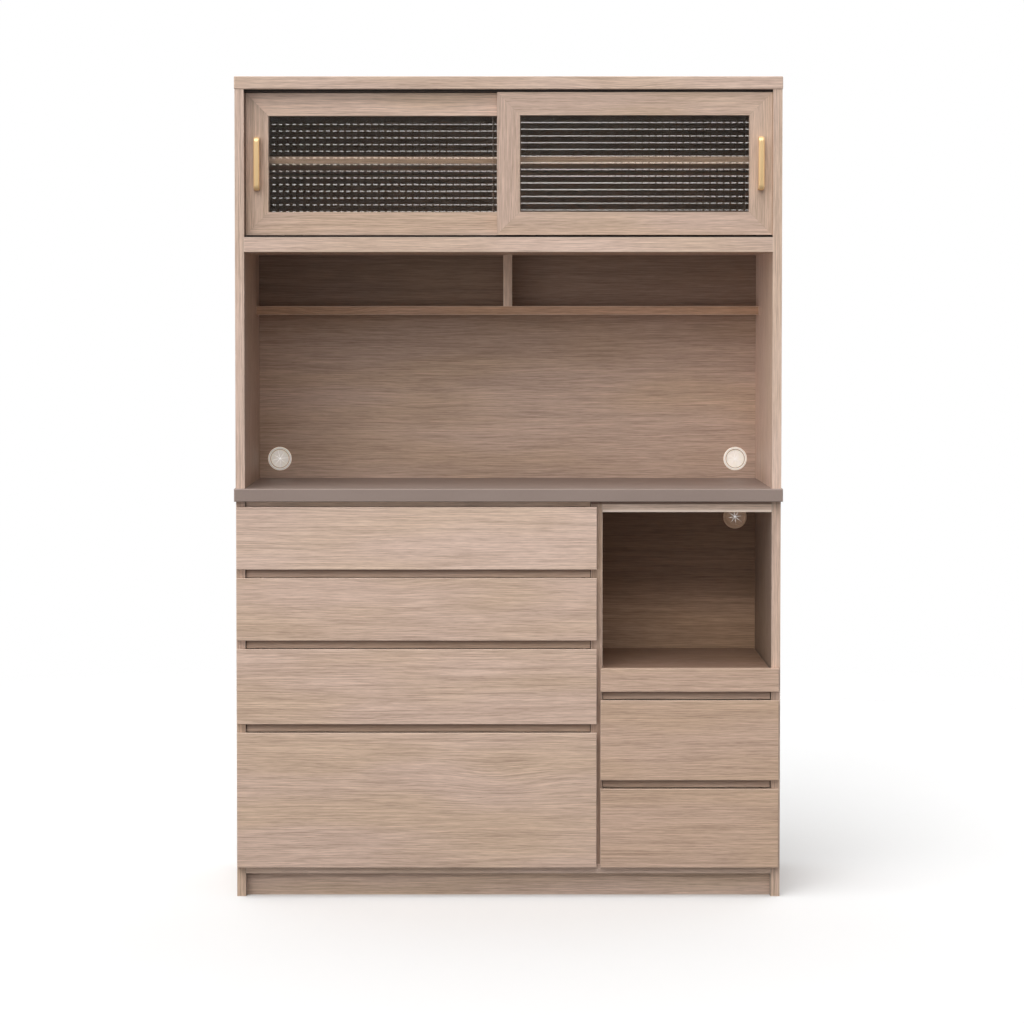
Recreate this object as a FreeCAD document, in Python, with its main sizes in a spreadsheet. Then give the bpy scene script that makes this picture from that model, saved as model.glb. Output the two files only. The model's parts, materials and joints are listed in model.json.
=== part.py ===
import FreeCAD, Part
import os
from types import SimpleNamespace

import Sketcher

# Kitchen cupboard: a lower cabinet with six drawers and a pull-out tray, and a hutch with sliding doors.
# The origin is on the floor under the middle of the counter, with the front towards -Y.

# Driving dimensions, in millimetres
DIMENSIONS = {
    # Lower cabinet
    "carcass_width": 1195,
    "side_board": 20,
    "partition_board": 25,
    "bay_width": 371,
    "plinth_height": 51,
    "plinth_thickness": 18,
    "plinth_setback": 20,
    "bottom_thickness": 20,
    "rail_depth": 60,
    "rail_setback": 6,
    "rail_lap": 0.5,
    "bay_top_thickness": 19,
    "ceiling_thickness": 5,
    "ceiling_setback": 2,
    # Back panels of both units
    "back_thickness": 5,
    "back_inset": 11,
    "back_groove": 8,
    # Play of panels and panes in their grooves
    "groove_play": 0.2,
    # Counter
    "counter_depth": 445,
    "counter_thickness": 28,
    "counter_side_overhang": 2.5,
    "counter_front_overhang": 5,
    "counter_edge_radius": 2,
    # Drawer fronts, each bank from the bottom board up
    "front_thickness": 18,
    "front_gap": 1.5,
    "front_bottom_lap": 4.5,
    "front_edge_chamfer": 1,
    "finger_gap": 19,
    "counter_gap": 12,
    "grip_bevel": 10,
    "drawer_1_height": 137,
    "drawer_2_height": 137,
    "drawer_3_height": 165,
    "drawer_4_height": 297.5,
    "drawer_5_height": 176,
    "drawer_6_height": 174,
    "left_front_reveal": 1.5,
    "left_front_lap": 12,
    "right_front_reveal": 4.5,
    "right_front_lap": 4.5,
    # Drawer boxes
    "box_rise": 10,
    "box_drop": 27,
    "box_side": 12,
    "box_back": 12,
    "box_bottom": 5,
    "box_bottom_rise": 8,
    "box_groove": 6,
    # Telescopic slides: three nested channels of folded sheet
    "slide_width": 12.7,
    "slide_sheet": 1.2,
    "slide_play": 0.4,
    "slide_web_gap": 0.8,
    "slide_tip_gap": 2,
    "slide_front_inset": 3,
    "slide_back_gap": 11.5,
    "slide_rise": 30,
    "drawer_slide_height": 42,
    "tray_slide_height": 28,
    # Pull-out tray
    "tray_lip": 2,
    "tray_board": 18,
    "tray_side_gap": 3,
    "tray_slide_gap": 0.5,
    "tray_skirt": 2.5,
    "cleat_width": 20,
    # Hutch
    "hutch_setback": 15,
    "open_height": 380,
    "spice_shelf_thickness": 20,
    "spice_shelf_depth": 80,
    "niche_height": 118,
    "divider_thickness": 20,
    "cabinet_floor_thickness": 32,
    "door_opening_height": 322,
    "top_thickness": 28,
    "top_side_overhang": 1,
    "top_front_overhang": 2,
    "top_edge_chamfer": 1.5,
    "shelf_thickness": 16,
    "shelf_rise": 162,
    "shelf_end_gap": 1,
    "shelf_setback": 12,
    "pin_diameter": 5,
    "pin_depth": 9,
    "pin_reach": 9,
    "pin_inset": 40,
    "pin_clearance": 0.1,
    "dowel_diameter": 8,
    "dowel_clearance": 0.15,
    "dowel_depth": 12,
    "dowel_reach": 18,
    "dowel_spacing": 240,
    # Sliding doors and their tracks
    "door_setback": 6,
    "door_thickness": 20,
    "door_plane_gap": 3,
    "door_side_gap": 1.5,
    "frame_width": 50,
    "glass_thickness": 4,
    "glass_tuck": 8,
    "track_base": 1.5,
    "track_margin": 2,
    "rib_height": 3,
    "rib_width": 3,
    "rib_door_gap": 0.9,
    "lip_height": 3.3,
    "lip_door_gap": 1.2,
    "glide_length": 40,
    "glide_inset": 105,
    "glide_seat": 10,
    "glide_fit": 0.1,
    "glide_play": 0.3,
    "shoe_width": 9,
    "guide_width": 5,
    # Door handles
    "handle_length": 117,
    "handle_width": 13,
    "handle_projection": 20,
    "handle_bar": 7,
    "handle_leg": 10,
    "handle_corner_radius": 8,
    "handle_edge_radius": 4,
    # Cord grommets
    "grommet_hole": 50,
    "grommet_flange": 55,
    "grommet_lip": 3,
    "grommet_mouth": 40,
    "grommet_wall": 2,
    "grommet_clearance": 0.25,
    "grommet_tail": 3,
    "membrane_thickness": 1,
    "membrane_recess": 1.5,
    "slit_length": 30,
    "slit_width": 1,
    "grommet_inset": 47,
    "grommet_rise": 45,
    "bay_grommet_drop": 39,
}


class Size:
    """A length worked out from the sheet: the expression that binds it and its present value."""

    def __init__(self, text, value):
        self.text = text
        self.value = value

    def __add__(self, other):
        return Size(f"({self.text} + {other.text})", self.value + other.value)

    def __sub__(self, other):
        return Size(f"({self.text} - {other.text})", self.value - other.value)

    def __mul__(self, factor):
        return Size(f"({self.text} * ({factor:g}))", self.value * factor)

    def __truediv__(self, divisor):
        return Size(f"({self.text} / {divisor:g})", self.value / divisor)

    def __neg__(self):
        return self * -1


def driving_sheet():
    """The sheet of driving dimensions, and each of its cells as a size."""
    sheet = doc.addObject("Spreadsheet::Sheet", "dim")
    for row, (alias, value) in enumerate(DIMENSIONS.items(), start=1):
        sheet.set(f"A{row}", alias)
        sheet.set(f"B{row}", str(value))
        sheet.setAlias(f"B{row}", alias)
    doc.recompute()
    return SimpleNamespace(**{alias: Size(f"dim.{alias}", getattr(sheet, alias)) for alias in DIMENSIONS})


doc = FreeCAD.newDocument("kitchen_cupboard")
d = driving_sheet()
ZERO = Size("0", 0.0)
AXES = {"x": FreeCAD.Vector(1, 0, 0), "y": FreeCAD.Vector(0, 1, 0), "z": FreeCAD.Vector(0, 0, 1)}
PAD_AXIS = {"YZ_Plane": "x", "XZ_Plane": "y", "XY_Plane": "z"}
EASED_BY = {"Fillet": "Radius", "Chamfer": "Size"}
LOWEST, HIGHEST = 0, 1
LEFT, RIGHT, FRONT = (-1, 0, 0), (1, 0, 0), (0, -1, 0)
nodes = []


# Ways to make a piece

def node(piece):
    """Counts the piece among the sub-parts that are written out."""
    nodes.append(piece)
    return piece


def span(low, length):
    return (low, low + length)


def centred(middle, length):
    return (middle - length / 2, middle + length / 2)


def middle(limits):
    return (limits[LOWEST] + limits[HIGHEST]) / 2


def grown(limits, play):
    """The limits moved apart by the play at each end."""
    return (limits[LOWEST] - play, limits[HIGHEST] + play)


def board(name, x, y, z):
    """A plain board between its lower and upper limits along each axis."""
    box = doc.addObject("Part::Box", name)
    for axis, side, limits in zip("xyz", ("Length", "Width", "Height"), (x, y, z)):
        box.setExpression(f"Placement.Base.{axis}", limits[LOWEST].text)
        box.setExpression(side, (limits[HIGHEST] - limits[LOWEST]).text)
    return box


def groove(name, x, y, z):
    """The room that a panel between these limits takes in the pieces that hold its edges."""
    return board(name, *(grown(limits, d.groove_play) for limits in (x, y, z)))


def rod(name, axis, radius, start, length):
    """A round rod along an axis from its start point."""
    cylinder = doc.addObject("Part::Cylinder", name)
    cylinder.Placement.Rotation = FreeCAD.Rotation(AXES["z"], AXES[axis])
    for letter, place in zip("xyz", start):
        cylinder.setExpression(f"Placement.Base.{letter}", place.text)
    cylinder.setExpression("Radius", radius.text)
    cylinder.setExpression("Height", length.text)
    return cylinder


def group(name, pieces):
    compound = doc.addObject("Part::Compound", name)
    compound.Links = pieces
    return compound


def cut(name, base, tools):
    """The base with every tool taken out of it."""
    result = doc.addObject("Part::Cut", name)
    result.Base = base
    result.Tool = tools[0] if len(tools) == 1 else group(f"{name}_tools", tools)
    return result


def origin_plane(body, role):
    return next(feature for feature in body.Origin.OriginFeatures if feature.Role == role)


def outline(body, name, plane, corners):
    """A closed outline on one of the body's own planes, with every corner tied to the sheet."""
    sketch = body.newObject("Sketcher::SketchObject", name)
    sketch.AttachmentSupport = [(origin_plane(body, plane), "")]
    sketch.MapMode = "FlatFace"
    points = [FreeCAD.Vector(across.value, up.value, 0) for across, up in corners]
    count = len(points)
    for index, point in enumerate(points):
        sketch.addGeometry(Part.LineSegment(point, points[(index + 1) % count]))
    for index in range(count):
        sketch.addConstraint(Sketcher.Constraint("Coincident", index, 2, (index + 1) % count, 1))
    for index, corner in enumerate(corners):
        for kind, size in zip(("DistanceX", "DistanceY"), corner):
            number = sketch.addConstraint(Sketcher.Constraint(kind, -1, 1, index, 1, size.value))
            sketch.setExpression(f"Constraints[{number}]", size.text)
    return sketch


def prism(name, plane, corners, along):
    """A body whose outline in the plane is carried between two limits along the third axis."""
    body = doc.addObject("PartDesign::Body", name)
    body.setExpression(f"Placement.Base.{PAD_AXIS[plane]}", along[LOWEST].text)
    pad = body.newObject("PartDesign::Pad", f"{name}_pad")
    pad.Profile = outline(body, f"{name}_outline", plane, corners)
    pad.setExpression("Length", (along[HIGHEST] - along[LOWEST]).text)
    pad.Reversed = plane == "XZ_Plane"
    body.Tip = pad
    return body


def rectangle(across, up):
    """Corners of a rectangle between its limits in a plane."""
    return [(across[LOWEST], up[LOWEST]), (across[HIGHEST], up[LOWEST]),
            (across[HIGHEST], up[HIGHEST]), (across[LOWEST], up[HIGHEST])]


def furthest(items, direction):
    """Number, from 1, of the face or edge that lies furthest along a direction."""
    reach = [item.CenterOfMass.dot(FreeCAD.Vector(*direction)) for item in items]
    return reach.index(max(reach)) + 1


def ease(body, kind, size, face_directions=(), edge_directions=()):
    """Rounds or bevels the edges of the outermost faces, and the outermost edges, along directions."""
    doc.recompute()
    base = body.Tip
    names = [f"Face{furthest(base.Shape.Faces, direction)}" for direction in face_directions]
    names += [f"Edge{furthest(base.Shape.Edges, direction)}" for direction in edge_directions]
    eased = body.newObject(f"PartDesign::{kind}", f"{body.Name}_ease")
    eased.Base = (base, names)
    eased.setExpression(EASED_BY[kind], size.text)
    body.Tip = eased


# Planes shared by the pieces, across the width
outer = d.carcass_width / 2
inner = outer - d.side_board
whole_inside = (-inner, inner)
partition_x = (inner - d.bay_width - d.partition_board, inner - d.bay_width)
left_bank_x = (-inner, partition_x[LOWEST])
right_bank_x = (partition_x[HIGHEST], inner)
left_fronts_x = (d.left_front_reveal - outer, partition_x[LOWEST] + d.left_front_lap)
right_fronts_x = (partition_x[HIGHEST] - d.right_front_lap, outer - d.right_front_reveal)

# Planes shared by the pieces, from front to back
counter_y = centred(ZERO, d.counter_depth)
back_edge = counter_y[HIGHEST]
fronts_y = span(counter_y[LOWEST] + d.counter_front_overhang, d.front_thickness)
carcass_front = fronts_y[HIGHEST] + d.front_gap
back_y = span(back_edge - d.back_inset - d.back_thickness, d.back_thickness)
carcass_inside_y = (carcass_front, back_y[LOWEST])
slide_y = (carcass_front + d.slide_front_inset, back_y[LOWEST] - d.slide_back_gap)
drawer_y = (fronts_y[HIGHEST], slide_y[HIGHEST])
hutch_front = counter_y[LOWEST] + d.hutch_setback
hutch_inside_y = (hutch_front, back_y[LOWEST])
right_door_y = span(hutch_front + d.door_setback, d.door_thickness)
left_door_y = span(right_door_y[HIGHEST] + d.door_plane_gap, d.door_thickness)


def stacked(lowest, heights):
    """Limits of the fronts of a bank, from the lowest up, a finger gap apart."""
    fronts = []
    for height in heights:
        fronts.append(span(lowest, height))
        lowest = fronts[-1][HIGHEST] + d.finger_gap
    return fronts


# Planes shared by the pieces, from the floor up
bottom_z = span(d.plinth_height, d.bottom_thickness)
first_front = bottom_z[HIGHEST] - d.front_bottom_lap
cleat_height = d.tray_slide_height + d.tray_slide_gap
tray_front_height = d.tray_lip + d.tray_board + cleat_height + d.tray_skirt
left_stack = stacked(first_front, (d.drawer_4_height, d.drawer_3_height,
                                   d.drawer_2_height, d.drawer_1_height))
right_stack = stacked(first_front, (d.drawer_6_height, d.drawer_5_height, tray_front_height))
carcass_top = left_stack[-1][HIGHEST] + d.counter_gap
counter_z = span(carcass_top, d.counter_thickness)
bay_top_z = (carcass_top - d.bay_top_thickness, carcass_top)
ceiling_z = (bay_top_z[LOWEST] - d.ceiling_thickness, bay_top_z[LOWEST])
spice_z = span(counter_z[HIGHEST] + d.open_height, d.spice_shelf_thickness)
cabinet_floor_z = span(spice_z[HIGHEST] + d.niche_height, d.cabinet_floor_thickness)
opening_z = span(cabinet_floor_z[HIGHEST], d.door_opening_height)
top_z = span(opening_z[HIGHEST], d.top_thickness)
hutch_z = (counter_z[HIGHEST], top_z[LOWEST])
rib_top = opening_z[LOWEST] + d.track_base + d.rib_height
groove_roof = opening_z[HIGHEST] - d.track_base
lip_bottom = groove_roof - d.lip_height
door_z = (rib_top + d.rib_door_gap, lip_bottom - d.lip_door_gap)
shelf_z = span(opening_z[LOWEST] + d.shelf_rise, d.shelf_thickness)


# Cord grommets

def grommet(name, x, z):
    """A flanged ring turned about Y with a thin membrane, slit like a star, across its mouth."""
    body = doc.addObject("PartDesign::Body", name)
    for axis, place in zip("xyz", (x, back_y[LOWEST], z)):
        body.setExpression(f"Placement.Base.{axis}", place.text)
    flange = d.grommet_flange / 2
    mouth = d.grommet_mouth / 2
    sleeve = d.grommet_hole / 2 - d.grommet_clearance
    bore = sleeve - d.grommet_wall
    tail = d.back_thickness + d.grommet_tail
    face = -d.grommet_lip
    membrane = span(face + d.membrane_recess, d.membrane_thickness)
    ring = body.newObject("PartDesign::Revolution", f"{name}_ring")
    ring.Profile = outline(body, f"{name}_section", "XY_Plane", [
        (ZERO, membrane[LOWEST]), (mouth, membrane[LOWEST]), (mouth, face), (flange, face), (flange, ZERO),
        (sleeve, ZERO), (sleeve, tail), (bore, tail), (bore, membrane[HIGHEST]), (ZERO, membrane[HIGHEST])])
    ring.ReferenceAxis = (ring.Profile[0], ["V_Axis"])
    ring.Angle = 360
    doc.recompute()
    slit = body.newObject("PartDesign::Pocket", f"{name}_slit")
    slit.Profile = outline(body, f"{name}_slit_outline", "XZ_Plane",
                           rectangle(centred(ZERO, d.slit_length), centred(ZERO, d.slit_width)))
    slit.Type = "ThroughAll"
    slit.SideType = "Symmetric"
    star = body.newObject("PartDesign::PolarPattern", f"{name}_star")
    star.Originals = [slit]
    star.Axis = (slit.Profile[0], ["N_Axis"])
    star.Angle = 135
    star.Occurrences = 4
    body.Tip = star
    return body


grommet_x = inner - d.grommet_inset
hutch_grommet_z = counter_z[HIGHEST] + d.grommet_rise
bay_grommet_z = ceiling_z[LOWEST] - d.bay_grommet_drop
node(group("cord_grommets", [grommet("left_grommet", -grommet_x, hutch_grommet_z),
                             grommet("right_grommet", grommet_x, hutch_grommet_z),
                             grommet("bay_grommet", grommet_x, bay_grommet_z)]))


# Lower cabinet

def back_panel(name, z, hole_places):
    """A thin back panel with holes for grommets, and the grooves that it takes in the side boards."""
    panel_x = grown(whole_inside, d.back_groove)
    holes = [rod(f"{name}_hole_{number}", "y", d.grommet_hole / 2, (x, back_y[LOWEST], height),
                 d.back_thickness)
             for number, (x, height) in enumerate(hole_places, start=1)]
    node(cut(name, board(f"{name}_sheet", panel_x, back_y, z), holes))
    return groove(f"{name}_groove", panel_x, back_y, z)


lower_back_groove = back_panel("lower_back_panel", (bottom_z[LOWEST], carcass_top),
                               [(grommet_x, bay_grommet_z)])
for hand, limits in (("left", (-outer, -inner)), ("right", (inner, outer))):
    blank = board(f"lower_side_{hand}_blank", limits, (carcass_front, back_edge), (ZERO, carcass_top))
    node(cut(f"lower_side_{hand}", blank, [lower_back_groove]))
node(board("lower_partition", partition_x, carcass_inside_y, (bottom_z[HIGHEST], carcass_top)))
node(board("bottom_board", whole_inside, carcass_inside_y, bottom_z))
node(board("plinth_board", whole_inside, span(carcass_front + d.plinth_setback, d.plinth_thickness),
           (ZERO, d.plinth_height)))
node(board("bay_top_board", right_bank_x, carcass_inside_y, bay_top_z))
node(board("bay_ceiling_panel", right_bank_x,
           (carcass_front + d.ceiling_setback, back_y[LOWEST]), ceiling_z))


def rails(hand, x, stack):
    """Cross rails behind the finger gaps between the fronts of a bank."""
    y = span(carcass_front + d.rail_setback, d.rail_depth)
    gaps = [grown((below[HIGHEST], above[LOWEST]), d.rail_lap) for below, above in zip(stack, stack[1:])]
    if hand == "left":
        gaps.append((stack[-1][HIGHEST] - d.rail_lap, carcass_top))
    return [board(f"{hand}_rail_{number}", x, y, gap) for number, gap in enumerate(gaps, start=1)]


node(group("drawer_rails", rails("left", left_bank_x, left_stack)
           + rails("right", right_bank_x, right_stack)))

# Counter, with the holes for the dowels that locate the hutch on it
dowels = []
dowel_holes = {"left": [], "right": []}
for hand, x in (("left", -(outer - d.side_board / 2)), ("right", outer - d.side_board / 2)):
    hutch_middle = middle((hutch_front, back_edge))
    for place, y in zip(("front", "rear"), centred(hutch_middle, d.dowel_spacing)):
        start = (x, y, counter_z[HIGHEST] - d.dowel_depth)
        length = d.dowel_depth + d.dowel_reach
        dowels.append(rod(f"{hand}_{place}_dowel", "z", d.dowel_diameter / 2, start, length))
        dowel_holes[hand].append(rod(f"{hand}_{place}_dowel_hole", "z",
                                     d.dowel_diameter / 2 + d.dowel_clearance, start, length))
node(group("hutch_dowels", dowels))

counter_x = centred(ZERO, d.carcass_width + d.counter_side_overhang * 2)
counter_slab = prism("counter_slab", "YZ_Plane", rectangle(counter_y, counter_z), counter_x)
ease(counter_slab, "Fillet", d.counter_edge_radius, face_directions=(FRONT,))
node(cut("countertop", counter_slab, dowel_holes["left"] + dowel_holes["right"]))

# Hutch
hutch_back_groove = back_panel("hutch_back_panel", hutch_z,
                               [(-grommet_x, hutch_grommet_z), (grommet_x, hutch_grommet_z)])
shelf_y = (left_door_y[HIGHEST] + d.shelf_setback, back_y[LOWEST])
pin_radius = d.pin_diameter / 2
pin_height = shelf_z[LOWEST] - pin_radius - d.pin_clearance
pin_length = d.pin_depth + d.pin_reach
pins = []
for hand, side_x, pin_x in (("left", (-outer, -inner), -inner - d.pin_depth),
                            ("right", (inner, outer), inner - d.pin_reach)):
    pin_holes = []
    for place, y in zip(("front", "rear"), grown(shelf_y, -d.pin_inset)):
        start = (pin_x, y, pin_height)
        pins.append(rod(f"{hand}_{place}_pin", "x", pin_radius, start, pin_length))
        pin_holes.append(rod(f"{hand}_{place}_pin_hole", "x", pin_radius + d.pin_clearance,
                             start, pin_length))
    blank = board(f"hutch_side_{hand}_blank", side_x, (hutch_front, back_edge), hutch_z)
    node(cut(f"hutch_side_{hand}", blank, [hutch_back_groove] + dowel_holes[hand] + pin_holes))
node(group("shelf_pins", pins))

node(board("cabinet_floor", whole_inside, hutch_inside_y, cabinet_floor_z))
node(board("cabinet_shelf", grown(whole_inside, -d.shelf_end_gap), shelf_y, shelf_z))
spice_y = (back_y[LOWEST] - d.spice_shelf_depth, back_y[LOWEST])
node(board("spice_shelf", whole_inside, spice_y, spice_z))
node(board("spice_divider", centred(ZERO, d.divider_thickness), spice_y,
           (spice_z[HIGHEST], cabinet_floor_z[LOWEST])))
top_x = centred(ZERO, d.carcass_width + d.top_side_overhang * 2)
top_board = node(prism("hutch_top_board", "YZ_Plane",
                       rectangle((hutch_front - d.top_front_overhang, back_edge), top_z), top_x))
ease(top_board, "Chamfer", d.top_edge_chamfer, face_directions=(FRONT, LEFT, RIGHT))


# Door tracks and sliding doors

def double_track(name, seat, edge, feature, half_width):
    """A strip along the opening, with a rib or a groove on the middle plane of each door."""
    front = right_door_y[LOWEST] + d.track_margin
    rear = left_door_y[HIGHEST] - d.track_margin
    corners = [(front, seat), (rear, seat), (rear, edge)]
    for plane in (middle(left_door_y), middle(right_door_y)):
        corners += [(plane + half_width, edge), (plane + half_width, feature),
                    (plane - half_width, feature), (plane - half_width, edge)]
    corners.append((front, edge))
    return node(prism(name, "YZ_Plane", corners, whole_inside))


double_track("lower_door_track", opening_z[LOWEST], opening_z[LOWEST] + d.track_base,
             rib_top, d.rib_width / 2)
double_track("upper_door_track", opening_z[HIGHEST], lip_bottom,
             groove_roof, d.guide_width / 2 + d.glide_play)


def seat(name, x, y, z):
    """The room that a glide takes in its rail."""
    return board(name, *(grown(limits, d.glide_fit) for limits in (x, y, z)))


def glides(name, x, y):
    """Two slotted shoes on the lower rib, two guides in the upper groove, and the seats they take."""
    plane = middle(y)
    shoe_low = opening_z[LOWEST] + d.track_base + d.glide_play
    slot_roof = rib_top + d.glide_play
    slot = d.rib_width / 2 + d.glide_play
    shoe_y = centred(plane, d.shoe_width)
    shoe_top = door_z[LOWEST] + d.glide_seat
    shoe_section = [(shoe_y[LOWEST], shoe_low), (plane - slot, shoe_low), (plane - slot, slot_roof),
                    (plane + slot, slot_roof), (plane + slot, shoe_low), (shoe_y[HIGHEST], shoe_low),
                    (shoe_y[HIGHEST], shoe_top), (shoe_y[LOWEST], shoe_top)]
    guide_y = centred(plane, d.guide_width)
    guide_low = door_z[HIGHEST] - d.glide_seat
    pieces, shoe_seats, guide_seats = [], [], []
    for end, place_middle in zip(("left", "right"), grown(x, -d.glide_inset)):
        place = centred(place_middle, d.glide_length)
        pieces.append(prism(f"{name}_{end}_shoe", "YZ_Plane", shoe_section, place))
        pieces.append(board(f"{name}_{end}_guide", place, guide_y, (guide_low, groove_roof - d.glide_play)))
        shoe_seats.append(seat(f"{name}_{end}_shoe_seat", place, shoe_y, (door_z[LOWEST], shoe_top)))
        guide_seats.append(seat(f"{name}_{end}_guide_seat", place, guide_y, (guide_low, door_z[HIGHEST])))
    node(group(f"{name}_glides", pieces))
    return shoe_seats, guide_seats


def door_frame(name, x, y, pane_groove, shoe_seats, guide_seats):
    """Two stiles and two rails that meet in mitres, grooved for the pane and let in for the glides."""
    (left, right), (low, high), width = x, door_z, d.frame_width
    opening = rectangle((left + width, right - width), (low + width, high - width))
    corners = rectangle(x, door_z)
    members = []
    tools = {"bottom_rail": shoe_seats, "right_stile": [], "top_rail": guide_seats, "left_stile": []}
    for number, (member, seats) in enumerate(tools.items()):
        after = (number + 1) % len(corners)
        mitred = [corners[number], corners[after], opening[after], opening[number]]
        blank = prism(f"{name}_{member}_blank", "XZ_Plane", mitred, y)
        members.append(cut(f"{name}_{member}", blank, [pane_groove] + seats))
    node(group(f"{name}_frame", members))


def handle(name, centre_x, face_y):
    """A bridge of half-round bar that stands off the stile on two legs, its corners turned back."""
    half = d.handle_length / 2
    centre_z = middle(door_z)
    front = face_y - d.handle_projection
    grip = front + d.handle_bar
    outside = centred(centre_z, d.handle_length)
    inside = centred(centre_z, (half - d.handle_leg) * 2)
    corners = [(face_y, outside[LOWEST]), (front, outside[LOWEST]), (front, outside[HIGHEST]),
               (face_y, outside[HIGHEST]), (face_y, inside[HIGHEST]), (grip, inside[HIGHEST]),
               (grip, inside[LOWEST]), (face_y, inside[LOWEST])]
    bridge = prism(f"{name}_handle", "YZ_Plane", corners, centred(centre_x, d.handle_width))
    ease(bridge, "Fillet", d.handle_corner_radius, edge_directions=((0, -1, 1), (0, -1, -1)))
    ease(bridge, "Fillet", d.handle_edge_radius, edge_directions=((1, -1, 0), (-1, -1, 0)))
    return node(bridge)


def sliding_door(name, x, y, handle_x):
    """A framed pane on glides, with a handle on its outer stile."""
    pane_inset = d.frame_width - d.glass_tuck
    pane = (grown(x, -pane_inset), centred(middle(y), d.glass_thickness), grown(door_z, -pane_inset))
    node(board(f"{name}_glass", *pane))
    shoe_seats, guide_seats = glides(name, x, y)
    door_frame(name, x, y, groove(f"{name}_glass_groove", *pane), shoe_seats, guide_seats)
    handle(name, handle_x, y[LOWEST])


door_edge = inner - d.door_side_gap
handle_x = door_edge - d.frame_width / 2
lap_edge = d.frame_width / 2
sliding_door("left_door", (-door_edge, lap_edge), left_door_y, -handle_x)
sliding_door("right_door", (-lap_edge, door_edge), right_door_y, handle_x)


# Telescopic slides

def channel(name, wall, inward, web, tip, centre, half):
    """A channel of folded sheet along Y, its web and flange tips set off from a carcass wall."""
    fold = d.slide_sheet if tip.value > web.value else -d.slide_sheet
    section = [(web, -half), (tip, -half), (tip, d.slide_sheet - half), (web + fold, d.slide_sheet - half),
               (web + fold, half - d.slide_sheet), (tip, half - d.slide_sheet), (tip, half), (web, half)]
    corners = [(wall + offset * inward, centre + up) for offset, up in section]
    return prism(name, "XZ_Plane", corners, slide_y)


cabinet_members = []


def slide_pair(name, bank_x, centre, height):
    """Cabinet, middle and inner members on both walls of a bank, each nested in the one before."""
    step = d.slide_sheet + d.slide_play
    middle_web = d.slide_sheet + d.slide_web_gap
    inner_tip = middle_web + d.slide_sheet + d.slide_tip_gap
    members = {
        "outer": (ZERO, d.slide_width - d.slide_tip_gap * 2, height / 2),
        "middle": (middle_web, d.slide_width - d.slide_tip_gap, height / 2 - step),
        "inner": (d.slide_width, inner_tip, height / 2 - step * 2),
    }
    for member, (web, tip, half) in members.items():
        pair = [channel(f"{name}_{member}_{hand}", wall, inward, web, tip, centre, half)
                for hand, wall, inward in (("left", bank_x[LOWEST], 1), ("right", bank_x[HIGHEST], -1))]
        if member == "outer":
            cabinet_members.extend(pair)
        else:
            node(group(f"{name}_slide_{member}", pair))


# Drawers

def front_board(name, x, z, bevel_at):
    """A front with eased edges and a bevel along its rear top or bottom edge for the fingers."""
    face, rear = fronts_y
    low, high = z
    if bevel_at == "top":
        corners = [(face, low), (rear, low), (rear, high - d.grip_bevel),
                   (rear - d.grip_bevel, high), (face, high)]
    else:
        corners = [(face, low), (rear - d.grip_bevel, low), (rear, low + d.grip_bevel),
                   (rear, high), (face, high)]
    piece = node(prism(name, "YZ_Plane", corners, x))
    ease(piece, "Chamfer", d.front_edge_chamfer, face_directions=(FRONT,))


def drawer_box(name, x, z):
    """Two sides grooved for the bottom panel, the panel, and a back that stands on it."""
    inside_x = grown(x, -d.box_side)
    panel_z = span(z[LOWEST] + d.box_bottom_rise, d.box_bottom)
    panel_limits = (grown(inside_x, d.box_groove), drawer_y, panel_z)
    panel = board(f"{name}_panel", *panel_limits)
    panel_groove = groove(f"{name}_panel_groove", *panel_limits)
    back = board(f"{name}_back", inside_x, (drawer_y[HIGHEST] - d.box_back, drawer_y[HIGHEST]),
                 (panel_z[HIGHEST], z[HIGHEST]))
    sides = []
    for hand, limits in (("left", (x[LOWEST], inside_x[LOWEST])),
                         ("right", (inside_x[HIGHEST], x[HIGHEST]))):
        blank = board(f"{name}_{hand}_blank", limits, drawer_y, z)
        sides.append(cut(f"{name}_{hand}_side", blank, [panel_groove]))
    node(group(name, sides + [back, panel]))


def drawer(name, bank_x, front_x, front_z):
    """A front on a box that hangs between two slides."""
    box_x = grown(bank_x, -d.slide_width)
    box_z = (front_z[LOWEST] + d.box_rise, front_z[HIGHEST] - d.box_drop)
    front_board(f"{name}_front", front_x, front_z, "top")
    drawer_box(f"{name}_box", box_x, box_z)
    slide_pair(name, bank_x, box_z[LOWEST] + d.slide_rise, d.drawer_slide_height)


for number, front_z in zip((4, 3, 2, 1), left_stack):
    drawer(f"drawer_{number}", left_bank_x, left_fronts_x, front_z)
for number, front_z in zip((6, 5), right_stack):
    drawer(f"drawer_{number}", right_bank_x, right_fronts_x, front_z)

# Pull-out tray
tray_z = right_stack[-1]
tray_board_z = (tray_z[HIGHEST] - d.tray_lip - d.tray_board, tray_z[HIGHEST] - d.tray_lip)
cleat_z = (tray_board_z[LOWEST] - cleat_height, tray_board_z[LOWEST])
cleat_x = grown(right_bank_x, -d.slide_width)
front_board("tray_front", right_fronts_x, tray_z, "bottom")
node(group("tray_board", [
    board("tray_top", grown(right_bank_x, -d.tray_side_gap), drawer_y, tray_board_z),
    board("tray_left_cleat", span(cleat_x[LOWEST], d.cleat_width), drawer_y, cleat_z),
    board("tray_right_cleat", (cleat_x[HIGHEST] - d.cleat_width, cleat_x[HIGHEST]), drawer_y, cleat_z)]))
slide_pair("tray", right_bank_x, cleat_z[LOWEST] + d.tray_slide_height / 2, d.tray_slide_height)
node(group("slide_channels", cabinet_members))

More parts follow.
